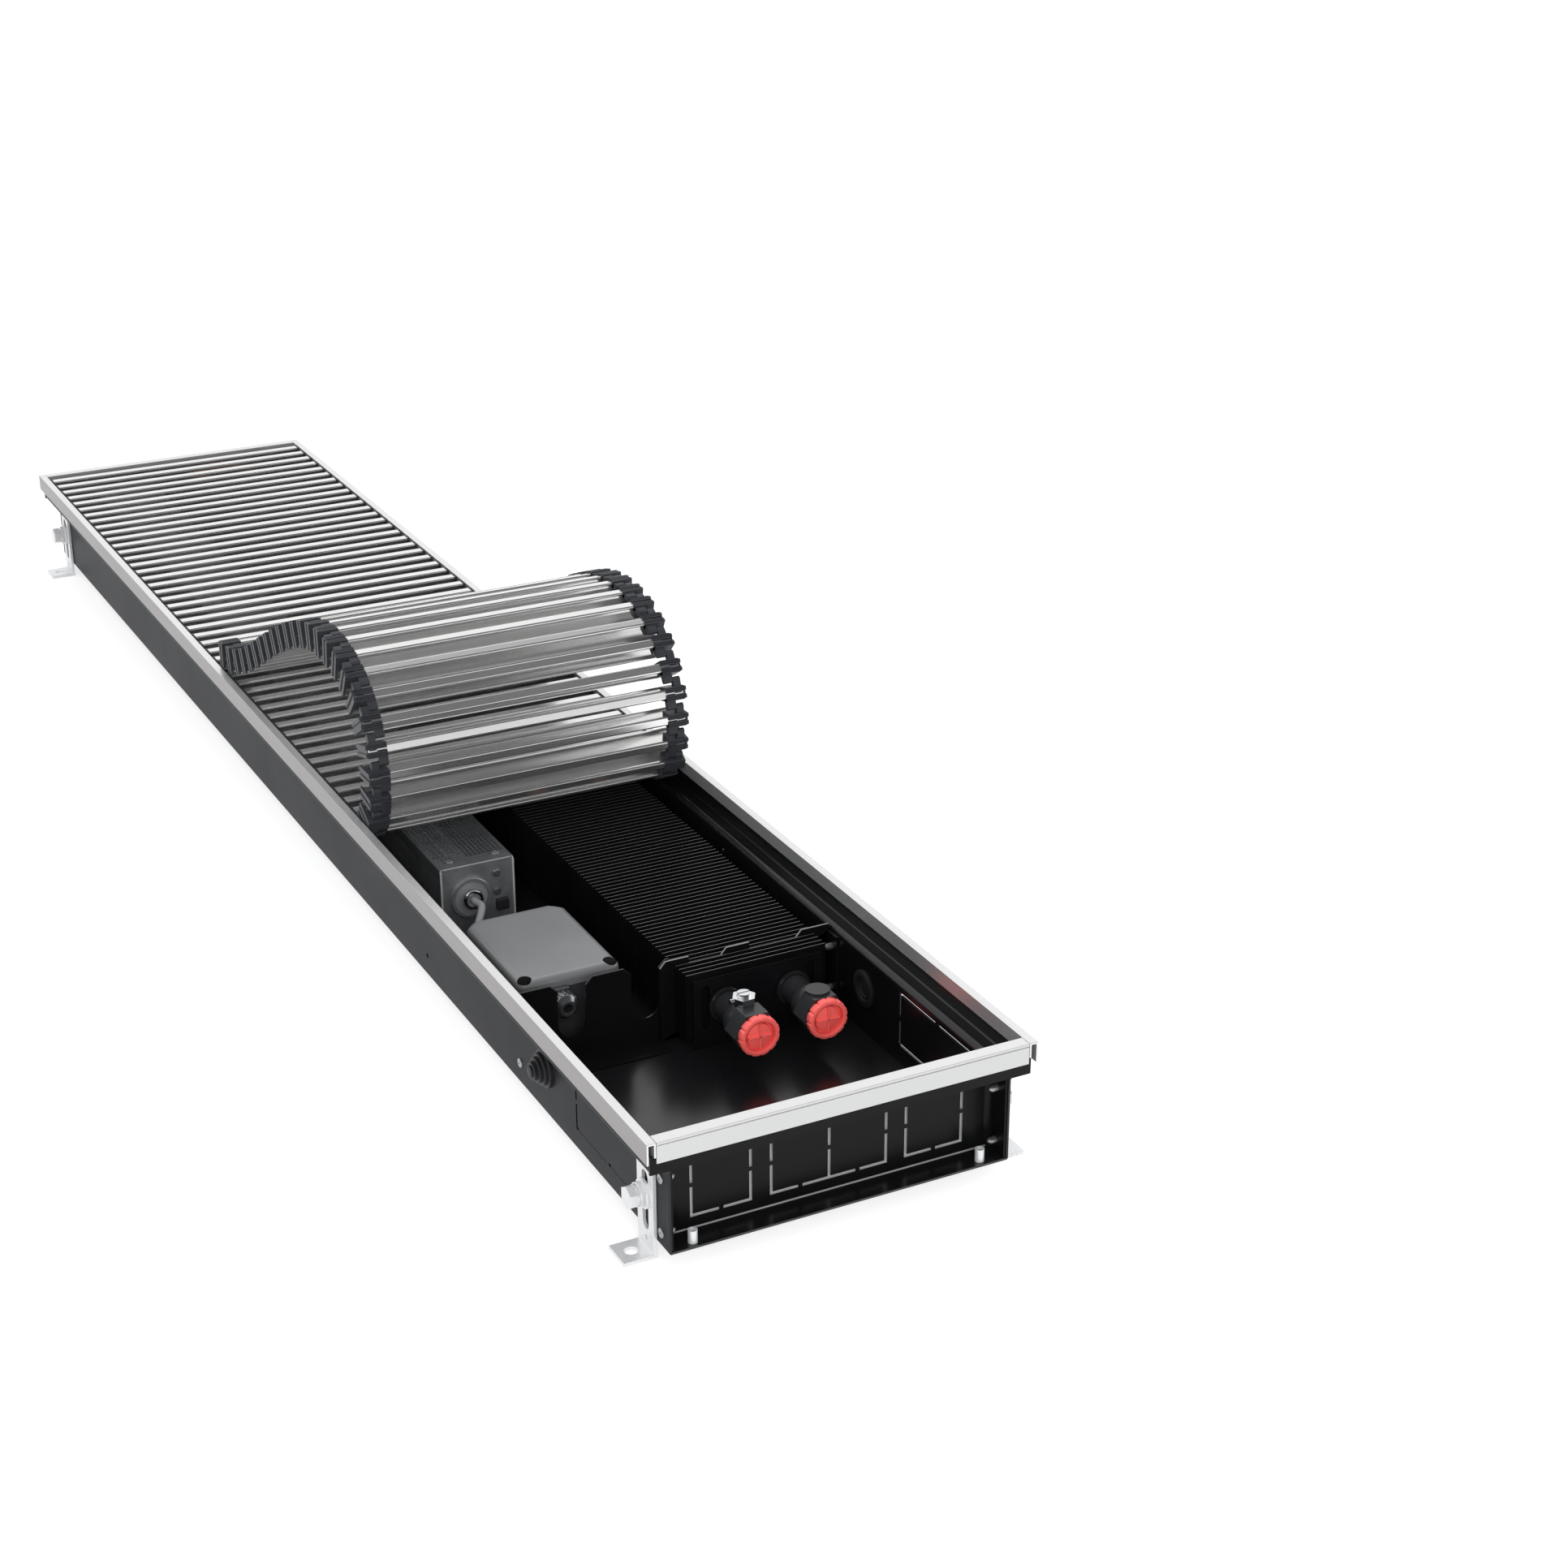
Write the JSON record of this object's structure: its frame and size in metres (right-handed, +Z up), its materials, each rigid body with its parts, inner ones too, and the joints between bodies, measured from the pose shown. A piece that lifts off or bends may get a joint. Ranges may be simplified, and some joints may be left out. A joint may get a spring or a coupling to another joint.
{
  "type": "trench convector heater",
  "caption": "Floor duct heater with an anthracite casing, aluminium frame, roll-up slatted grille, finned heat exchanger, tangential fan, junction box and levelling feet.",
  "frame": {"origin": "on the floor under the middle of the duct", "axes": "X across the duct, Y along it with the connection end at -Y, Z up"},
  "size_m": [0.2754, 1.412, 0.2107],
  "materials": {
    "black_coat": "anthracite powder coat, slightly glossy on the trough's floor",
    "frame_aluminium": "satin anodised profile",
    "slat_aluminium": "satin anodised profile, with dark rubber end caps on the moving slats",
    "cap_rubber": "dark grey, matte",
    "rivet_metal": "bare, satin",
    "zinc_steel": "bright zinc plate",
    "grommet_rubber": "dark grey, matte",
    "fin_coating": "black coated fins with bright cut top edges",
    "copper_tube": "bare copper",
    "connector_metal": "dark grey coat over turned metal",
    "nickel_plate": "bright nickel plate",
    "galvanised_sheet": "galvanised, satin",
    "motor_metal": "grey, satin",
    "rotor_metal": "dark grey blades",
    "lead_sheath": "light grey sheath",
    "box_metal": "die-cast, satin grey",
    "lid_metal": "die-cast, satin light grey",
    "terminal_plastic": "cream, matte",
    "red_plastic": "light red, slightly glossy"
  },
  "bodies": {
    "duct": {"casing_floor": "black_coat", "casing_wall_left": "black_coat", "casing_wall_right": "black_coat", "casing_ledge_left": "black_coat", "casing_ledge_right": "black_coat", "casing_upstand_left": "black_coat", "casing_upstand_right": "black_coat", "front_end_plate": "black_coat", "rear_end_plate": "black_coat", "frame_left": "frame_aluminium", "frame_right": "frame_aluminium", "frame_front": "frame_aluminium", "frame_rear": "frame_aluminium", "fixed_slats": "slat_aluminium", "fixed_slat_caps": "cap_rubber", "wall_rivets": "rivet_metal", "foot_bolts": "zinc_steel", "set_screws": "zinc_steel", "wall_grommets": "grommet_rubber", "fin_block": "fin_coating", "exchanger_tube": "copper_tube", "exchanger_brackets": "black_coat", "pipe_connectors": "connector_metal", "air_vent": "nickel_plate", "fan_housing": "galvanised_sheet", "fan_guard": "galvanised_sheet", "fan_motor": "motor_metal", "fan_lead": "lead_sheath", "box_plate": "black_coat", "box_base": "box_metal", "box_lid": "lid_metal", "cable_gland": "nickel_plate", "terminal_block": "terminal_plastic", "small_screws": "zinc_steel"},
    "foot_front_left": {"foot_front_left": "zinc_steel"},
    "foot_front_right": {"foot_front_right": "zinc_steel"},
    "foot_rear_left": {"foot_rear_left": "zinc_steel"},
    "foot_rear_right": {"foot_rear_right": "zinc_steel"},
    "transport_cap_left": {"transport_cap_left": "red_plastic"},
    "transport_cap_right": {"transport_cap_right": "red_plastic"},
    "fan_rotor": {"fan_rotor": "rotor_metal"},
    "roll_slat_25": {"roll_slat_25": "slat_aluminium"},
    "roll_slat_24": {"roll_slat_24": "slat_aluminium"},
    "roll_slat_23": {"roll_slat_23": "slat_aluminium"},
    "roll_slat_22": {"roll_slat_22": "slat_aluminium"},
    "roll_slat_21": {"roll_slat_21": "slat_aluminium"},
    "roll_slat_20": {"roll_slat_20": "slat_aluminium"},
    "roll_slat_19": {"roll_slat_19": "slat_aluminium"},
    "roll_slat_18": {"roll_slat_18": "slat_aluminium"},
    "roll_slat_17": {"roll_slat_17": "slat_aluminium"},
    "roll_slat_16": {"roll_slat_16": "slat_aluminium"},
    "roll_slat_15": {"roll_slat_15": "slat_aluminium"},
    "roll_slat_14": {"roll_slat_14": "slat_aluminium"},
    "roll_end": {"roll_end_slats": "slat_aluminium", "roll_end_caps": "cap_rubber"}
  },
  "joints": [
    {"name": "foot_front_left_level", "type": "slide", "parent": "duct", "child": "foot_front_left", "axis": [0, 0, 1], "range_m": [-0.011, 0.007]},
    {"name": "foot_front_right_level", "type": "slide", "parent": "duct", "child": "foot_front_right", "axis": [0, 0, 1], "range_m": [-0.011, 0.007]},
    {"name": "foot_rear_left_level", "type": "slide", "parent": "duct", "child": "foot_rear_left", "axis": [0, 0, 1], "range_m": [-0.011, 0.007]},
    {"name": "foot_rear_right_level", "type": "slide", "parent": "duct", "child": "foot_rear_right", "axis": [0, 0, 1], "range_m": [-0.011, 0.007]},
    {"name": "transport_cap_left_pull", "type": "slide", "parent": "duct", "child": "transport_cap_left", "axis": [0, -1, 0], "range_m": [0, 0.02]},
    {"name": "transport_cap_right_pull", "type": "slide", "parent": "duct", "child": "transport_cap_right", "axis": [0, -1, 0], "range_m": [0, 0.02]},
    {"name": "fan_spin", "type": "hinge", "parent": "duct", "child": "fan_rotor", "pos_m": [-0.066, 0, 0.043], "axis": [0, 1, 0], "continuous": true},
    {"name": "link_25", "type": "hinge", "parent": "duct", "child": "roll_slat_25", "pos_m": [0, -0.198, 0.075], "axis": [1, 0, 0], "range_deg": [0, 30]},
    {"name": "link_24", "type": "hinge", "parent": "roll_slat_25", "child": "roll_slat_24", "pos_m": [0, -0.21515, 0.0849], "axis": [1, 0, 0], "range_deg": [0, 30]},
    {"name": "link_23", "type": "hinge", "parent": "roll_slat_24", "child": "roll_slat_23", "pos_m": [0, -0.22505, 0.10205], "axis": [1, 0, 0], "range_deg": [0, 20]},
    {"name": "link_22", "type": "hinge", "parent": "roll_slat_23", "child": "roll_slat_22", "pos_m": [0, -0.22849, 0.12155], "axis": [1, 0, 0], "range_deg": [0, 12]},
    {"name": "link_21", "type": "hinge", "parent": "roll_slat_22", "child": "roll_slat_21", "pos_m": [0, -0.22779, 0.14133], "axis": [1, 0, 0], "range_deg": [0, 14]},
    {"name": "link_20", "type": "hinge", "parent": "roll_slat_21", "child": "roll_slat_20", "pos_m": [0, -0.22234, 0.16037], "axis": [1, 0, 0], "range_deg": [0, 16]},
    {"name": "link_19", "type": "hinge", "parent": "roll_slat_20", "child": "roll_slat_19", "pos_m": [0, -0.21185, 0.17716], "axis": [1, 0, 0], "range_deg": [0, 16]},
    {"name": "link_18", "type": "hinge", "parent": "roll_slat_19", "child": "roll_slat_18", "pos_m": [0, -0.19713, 0.19041], "axis": [1, 0, 0], "range_deg": [0, 15]},
    {"name": "link_17", "type": "hinge", "parent": "roll_slat_18", "child": "roll_slat_17", "pos_m": [0, -0.17949, 0.1994], "axis": [1, 0, 0], "range_deg": [0, 11]},
    {"name": "link_16", "type": "hinge", "parent": "roll_slat_17", "child": "roll_slat_16", "pos_m": [0, -0.16045, 0.20485], "axis": [1, 0, 0], "range_deg": [0, 9]},
    {"name": "link_15", "type": "hinge", "parent": "roll_slat_16", "child": "roll_slat_15", "pos_m": [0, -0.1408, 0.20727], "axis": [1, 0, 0], "range_deg": [0, 8]},
    {"name": "link_14", "type": "hinge", "parent": "roll_slat_15", "child": "roll_slat_14", "pos_m": [0, -0.12101, 0.20692], "axis": [1, 0, 0], "range_deg": [0, 8]},
    {"name": "link_13", "type": "hinge", "parent": "roll_slat_14", "child": "roll_end", "pos_m": [0, -0.10145, 0.20382], "axis": [1, 0, 0], "range_deg": [0, 7]}
  ]
}
